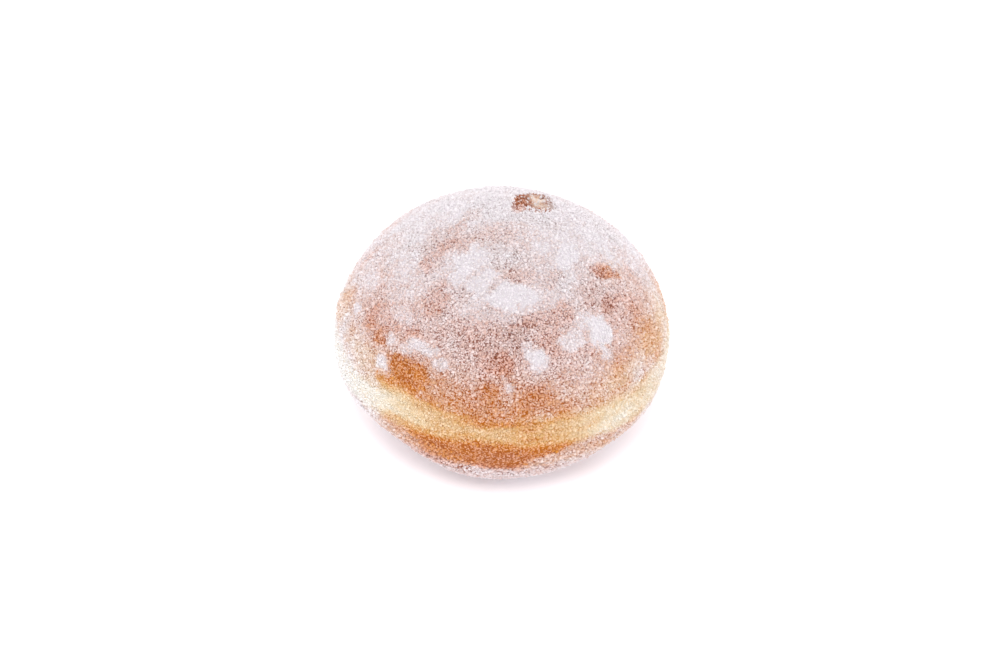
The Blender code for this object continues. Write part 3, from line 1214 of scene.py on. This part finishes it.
@dataclass
class SugarCoat:
    """The loose crystals that cling to the skin, strewn by the sugar plan."""

    plan: SugarPlan
    finish: CrystalFinish = field(default_factory=CrystalFinish)
    seed: int = 5
    seat: float = 0.36  # room that each crystal takes
    seats_across: int = 1024  # how many seats the box that they are counted in is wide
    draws: int = 600_000
    torn_loss: float = 0.85  # share of the crystals that the torn hole loses
    foot_height: float = 0.5  # under this the flat foot has none
    foot_slope: float = -0.8
    floor_gap: float = 0.06
    stretch: tuple[float, float] = (0.72, 1.12)
    lift: tuple[float, float] = (0.02, 0.3)  # how far a crystal stands off the skin, in its own sizes
    chart_height: float = 48.0  # what the chart takes in, a little more than the ball's height
    chart_spot: float = 0.0008  # a crystal's half size on the chart, as a share of it
    chart_rim: float = 0.001
    kinds: tuple[CrystalKind, ...] = (
        # name, shape, smallest, largest, most, and shares on the crust, on caked sugar and low down
        CrystalKind("coarse_crystals", CrystalShape.BLOCK, 0.38, 0.54, 16000, 0.12, 0.06, 0.45),
        CrystalKind("caster_crystals", CrystalShape.LOZENGE, 0.36, 0.50, 24900, 0.25, 0.24, 0.2),
        CrystalKind("caster_crystals_b", CrystalShape.LOZENGE, 0.32, 0.46, 24900, 0.25, 0.24, 0.15),
        CrystalKind("fine_crystals", CrystalShape.LOZENGE, 0.28, 0.40, 24900, 0.20, 0.24, 0.10),
        CrystalKind("fine_crystals_b", CrystalShape.LOZENGE, 0.24, 0.34, 24900, 0.18, 0.23, 0.10),
    )

    def _seats(self, ball: bpy.types.Object, rng: np.random.Generator) -> tuple[np.ndarray, ...]:
        """Draws places for crystals on the ball, no two in one small cell.

        Args:
            ball: The finished dough ball.
            rng: The source of chance.

        Returns:
            The places, the skin's normals there, and how far the skin is torn open there.
        """
        mesh = ball.data
        mesh.calc_loop_triangles()
        corners = np.empty(len(mesh.loop_triangles) * 3, np.int32)
        mesh.loop_triangles.foreach_get("vertices", corners)
        points, normals = read_points(mesh), read_normals(mesh)
        corners = corners.reshape(-1, 3)
        a, b, c = (points[corners[:, i]] for i in range(3))
        area = np.linalg.norm(np.cross(b - a, c - a), axis=1)
        picked = rng.choice(len(corners), self.draws, p=area / area.sum())
        u, v = rng.uniform(size=(2, self.draws, 1))
        u, v = np.where(u + v > 1.0, 1.0 - u, u), np.where(u + v > 1.0, 1.0 - v, v)
        places = a[picked] * (1.0 - u - v) + b[picked] * u + c[picked] * v
        facing = normals[corners[picked, 0]]
        cells = np.floor(places / self.seat).astype(np.int64) + self.seats_across // 2
        key = (cells[:, 0] * self.seats_across + cells[:, 1]) * self.seats_across + cells[:, 2]
        first = np.unique(key, return_index=True)[1]
        rng.shuffle(first)
        torn = np.empty(len(points), np.float32)
        mesh.attributes[Skin.TORN.value].data.foreach_get("value", torn)
        return places[first], facing[first], torn[corners[picked[first], 0]]

    def build(self, ball: bpy.types.Object) -> list[bpy.types.Object]:
        """Strews the crystals.

        Args:
            ball: The finished dough ball.

        Returns:
            One object for each kind of crystal.
        """
        rng = np.random.default_rng(self.seed)
        places, facing, torn = self._seats(ball, rng)
        taken = rng.uniform(size=len(places)) < self.plan.crystals(places) * (1.0 - self.torn_loss * torn)
        flat_foot = (places[:, 2] < self.foot_height) & (facing[:, 2] < self.foot_slope)
        places, facing = places[taken & ~flat_foot], facing[taken & ~flat_foot]
        powder = self.plan.powder(places)
        sole = ease(2.0, 9.0, self.plan.belt(places)[1])
        shares = np.stack(
            [(k.crown * (1 - powder) + k.powder * powder) * (1 - sole) + k.sole * sole for k in self.kinds]
        )
        reached = np.cumsum(shares / shares.sum(0), axis=0)
        choice = (rng.uniform(size=len(places)) > reached).sum(0)
        log.info("crystal seats %d, kinds %s", len(places), np.bincount(choice).tolist())
        made = []
        for number, kind in enumerate(self.kinds):
            mine = np.flatnonzero(choice == number)[: kind.most]
            made.append(self._strew(kind, places[mine], facing[mine], rng))
        return made

    def _strew(
        self, kind: CrystalKind, places: np.ndarray, facing: np.ndarray, rng: np.random.Generator
    ) -> bpy.types.Object:
        """Copies one crystal to every place and joins the copies.

        Args:
            kind: The kind of crystal.
            places: Where the crystals go.
            facing: The skin's normals there.
            rng: The source of chance.

        Returns:
            The joined object.
        """
        shape, faces = kind.model()
        count = len(places)
        size = rng.uniform(kind.smallest, kind.largest, (count, 1, 1))
        stretch = rng.uniform(*self.stretch, (count, 1, 3))
        local = (shape[None] * stretch * size) @ random_turns(count, rng)
        lift = size[:, :, 0] * rng.uniform(*self.lift, (count, 1))
        points = local + (places + facing * lift)[:, None]
        standing = points[:, :, 2].min(1) > self.floor_gap
        points, seats = points[standing], places[standing]
        piece = self._join(kind.name, points, faces)
        self._paint(piece.data, seats, len(shape), rng)
        self._chart(piece.data, seats, faces)
        return piece

    @staticmethod
    def _join(name: str, points: np.ndarray, faces: np.ndarray) -> bpy.types.Object:
        """Makes one mesh of many copies.

        Args:
            name: The object's name.
            points: The points of every copy, as copies by points by 3.
            faces: One copy's faces.

        Returns:
            The new object, linked to the scene.
        """
        count, each, _ = points.shape
        sides = faces.shape[1]
        offsets = (np.arange(count) * each)[:, None, None]
        corners = (faces[None] + offsets).reshape(-1)
        mesh = bpy.data.meshes.new(name)
        mesh.vertices.add(count * each)
        mesh.vertices.foreach_set("co", (points * MM).astype(np.float32).ravel())
        mesh.loops.add(len(corners))
        mesh.loops.foreach_set("vertex_index", corners.astype(np.int32))
        mesh.polygons.add(len(corners) // sides)
        mesh.polygons.foreach_set("loop_start", np.arange(0, len(corners), sides, dtype=np.int32))
        mesh.update(calc_edges=True)
        mesh.validate()
        piece = bpy.data.objects.new(name, mesh)
        bpy.context.scene.collection.objects.link(piece)
        return piece

    def _paint(self, mesh: bpy.types.Mesh, seats: np.ndarray, each: int, rng: np.random.Generator) -> None:
        """Stores what each crystal lies on, and its own draw.

        Args:
            mesh: The joined mesh.
            seats: Where each crystal sits.
            each: How many points a crystal has.
            rng: The source of chance.
        """
        write_paint(mesh, Skin.BROWNING, np.repeat(self.plan.browning(seats), each))
        write_paint(mesh, Skin.FROST, np.repeat(self.plan.frost(seats), each))
        write_paint(mesh, Skin.LOT, np.repeat(rng.uniform(size=len(seats)), each))

    def _chart(self, mesh: bpy.types.Mesh, seats: np.ndarray, faces: np.ndarray) -> None:
        """Lays each crystal's faces on a small square of a chart of the ball.

        Args:
            mesh: The joined mesh.
            seats: Where each crystal sits.
            faces: One crystal's faces.
        """
        azimuth, _ = angles_of(seats)
        middle = np.stack([azimuth / 360.0 + 0.5, seats[:, 2] / self.chart_height], axis=-1)
        turns = np.arange(faces.shape[1]) / faces.shape[1] * 2.0 * np.pi
        rim = self.chart_spot * np.stack([np.cos(turns), np.sin(turns)], axis=-1)
        spots = np.repeat(middle, len(faces), axis=0)[:, None] + rim[None]
        layer = mesh.uv_layers.new(name=BAKE_MAP)
        inside = np.clip(spots, self.chart_rim, 1.0 - self.chart_rim)
        layer.uv.foreach_set("vector", inside.astype(np.float32).ravel())

    def dress(self, pieces: list[bpy.types.Object]) -> None:
        """Gives the crystals their finish."""
        for piece in pieces:
            piece.data.materials.append(self.finish.material(piece.name + "_sugar"))
            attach(piece, BODY)


@dataclass
class Studio:
    """The pale floor, the soft light and the camera."""

    camera_elevation: float = 37.5
    camera_distance: float = 589.0
    look_at: tuple[float, float, float] = (0.0, 0.0, 18.6)
    slide_right: float = -0.32
    slide_up: float = 1.79
    lens: float = 113.7
    sensor: float = 36.0
    sight: tuple[float, float] = (10.0, 20_000.0)  # the nearest and farthest that the camera sees
    floor_half: float = 3000.0
    floor_squares: int = 8
    sky: tuple[float, float, float] = (1.0, 0.985, 1.0)
    sky_strength: float = 0.53
    rear_strength: float = 1.27
    side_extra: float = 0.93
    softbox_size: float = 300.0
    softbox_at: tuple[float, float, float] = (0.0, -616.0, 788.0)
    softbox_power: float = 3.95
    softbox_colour: tuple[float, float, float] = (1.0, 0.985, 0.97)

    def build(self) -> None:
        """Sets up the floor, the light, the camera and the picture's look."""
        self._floor()
        self._sky()
        self._softbox()
        self._camera()
        view = bpy.context.scene.view_settings
        view.view_transform, view.look = "Standard", "None"
        view.exposure, view.gamma = 0.0, 1.0

    def _floor(self) -> None:
        """Lays the white floor under the doughnut."""
        bpy.ops.object.select_all(action="DESELECT")
        squares, size = self.floor_squares, 2 * self.floor_half * MM
        bpy.ops.mesh.primitive_grid_add(x_subdivisions=squares, y_subdivisions=squares, size=size)
        floor = bpy.context.active_object
        floor.name = "studio_floor"
        floor.data.materials.append(FloorFinish().material())

    def _sky(self) -> None:
        """Fills the room with white light, stronger from white panels behind and at the sides."""
        world = bpy.data.worlds.new("soft_room")
        bench = NodeBench(world)
        towards = bench.node("ShaderNodeTexCoord").outputs["Generated"]
        split = bench.node("ShaderNodeSeparateXYZ", {}, {0: towards})
        sideward, rearward = Value(bench, split.outputs["X"]), Value(bench, split.outputs["Y"])
        strength = rearward.eased(0.1, 0.85) * (self.rear_strength - self.sky_strength) + self.sky_strength
        strength = strength + (sideward * sideward).eased(0.15, 0.8) * self.side_extra
        light = bench.node("ShaderNodeBackground", {}, {"Color": (*self.sky, 1.0), "Strength": strength})
        bench.node("ShaderNodeOutputWorld", {}, {"Surface": light.outputs[0]})
        bpy.context.scene.world = world

    def _softbox(self) -> None:
        """Hangs a broad soft light above the doughnut."""
        lamp = bpy.data.lights.new("softbox", "AREA")
        lamp.shape, lamp.size, lamp.energy = "DISK", self.softbox_size * MM, self.softbox_power
        lamp.color = self.softbox_colour
        holder = bpy.data.objects.new("softbox", lamp)
        holder.location = Vector(self.softbox_at) * MM
        aim = Vector(self.look_at) * MM - holder.location
        holder.rotation_euler = aim.to_track_quat("-Z", "Y").to_euler()
        bpy.context.scene.collection.objects.link(holder)

    def _camera(self) -> None:
        """Sets the camera at the front, above the doughnut."""
        tilt = math.radians(self.camera_elevation)
        back = Vector((0.0, -math.cos(tilt), math.sin(tilt)))
        right = Vector((1.0, 0.0, 0.0))
        up = right.cross(-back)
        spot = Vector(self.look_at) + back * self.camera_distance
        spot += right * self.slide_right + up * self.slide_up
        lens = bpy.data.cameras.new("camera")
        lens.lens, lens.sensor_width = self.lens, self.sensor
        lens.clip_start, lens.clip_end = (reach * MM for reach in self.sight)
        camera = bpy.data.objects.new("camera", lens)
        camera.location = spot * MM
        camera.rotation_euler = (-back).to_track_quat("-Z", "Y").to_euler()
        bpy.context.scene.collection.objects.link(camera)
        bpy.context.scene.camera = camera


def report(piece: bpy.types.Object) -> None:
    """Logs a finished piece's faces and box."""
    points = read_points(piece.data)
    low, high = points.min(0).round(2).tolist(), points.max(0).round(2).tolist()
    log.info("%s: %d faces, from %s to %s mm", piece.name, len(piece.data.polygons), low, high)


def main() -> None:
    """Builds the doughnut and the studio round it."""
    logging.basicConfig(level=logging.INFO, format="%(name)s %(message)s")
    plan = SugarPlan()
    dough = DoughBall(plan)
    ball = dough.build()
    dough.dress()
    report(ball)
    coat = SugarCoat(plan)
    crystals = coat.build(ball)
    coat.dress(crystals)
    for piece in crystals:
        report(piece)
    Studio().build()


if __name__ == "__main__":
    main()
